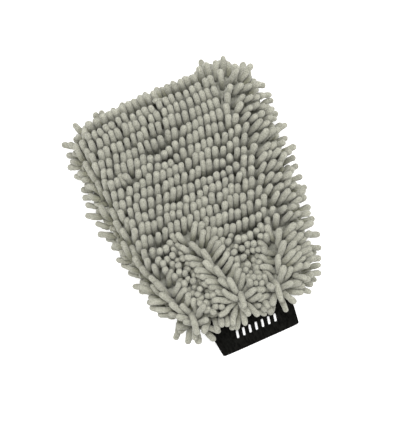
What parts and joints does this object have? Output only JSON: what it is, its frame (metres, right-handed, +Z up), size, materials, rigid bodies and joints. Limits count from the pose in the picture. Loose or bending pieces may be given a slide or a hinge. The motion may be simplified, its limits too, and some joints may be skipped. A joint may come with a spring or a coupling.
{
  "type": "wash mitt",
  "caption": "Chenille microfibre wash mitt: a lined pouch with long pile on both faces, gathered into a black elastic knit cuff.",
  "frame": {"origin": "on the resting plane, under the centre of the mitt's bounding box", "axes": "+X across the mitt, +Y from the cuff towards the tip, +Z up out of the front face"},
  "size_m": [0.216, 0.277, 0.0519],
  "materials": {
    "pile": "matte chenille microfibre",
    "base_cloth": "matte knitted fabric",
    "lining": "matte knitted fabric",
    "cuff": "matte fine rib knit",
    "elastic": "woven elastic tape",
    "thread": "polyester sewing thread",
    "print": "matte screen-print ink"
  },
  "bodies": {
    "palm": {"front_pile_palm": "pile", "back_pile_palm": "pile", "front_cloth_palm": "base_cloth", "back_cloth_palm": "base_cloth", "front_lining_palm": "lining", "back_lining_palm": "lining", "side_stitches_palm": "thread", "cuff_seam_stitches": "thread", "cuff_back": "cuff", "elastic_back": "elastic"},
    "tip": {"front_pile_tip": "pile", "back_pile_tip": "pile", "front_cloth_tip": "base_cloth", "back_cloth_tip": "base_cloth", "front_lining_tip": "lining", "back_lining_tip": "lining", "side_stitches_tip": "thread"},
    "cuff_front": {"cuff_front": "cuff", "elastic_front": "elastic", "cuff_print": "print"}
  },
  "joints": [
    {"name": "knuckle_bend", "type": "hinge", "parent": "palm", "child": "tip", "pos_m": [0, 0.0065, 0.024], "axis": [1, 0, 0], "range_deg": [0, 45]},
    {"name": "cuff_open", "type": "hinge", "parent": "palm", "child": "cuff_front", "pos_m": [0, -0.0985, 0.0336], "axis": [-1, 0, 0], "range_deg": [0, 35], "stiffness_Nm_per_rad": 0.01}
  ]
}
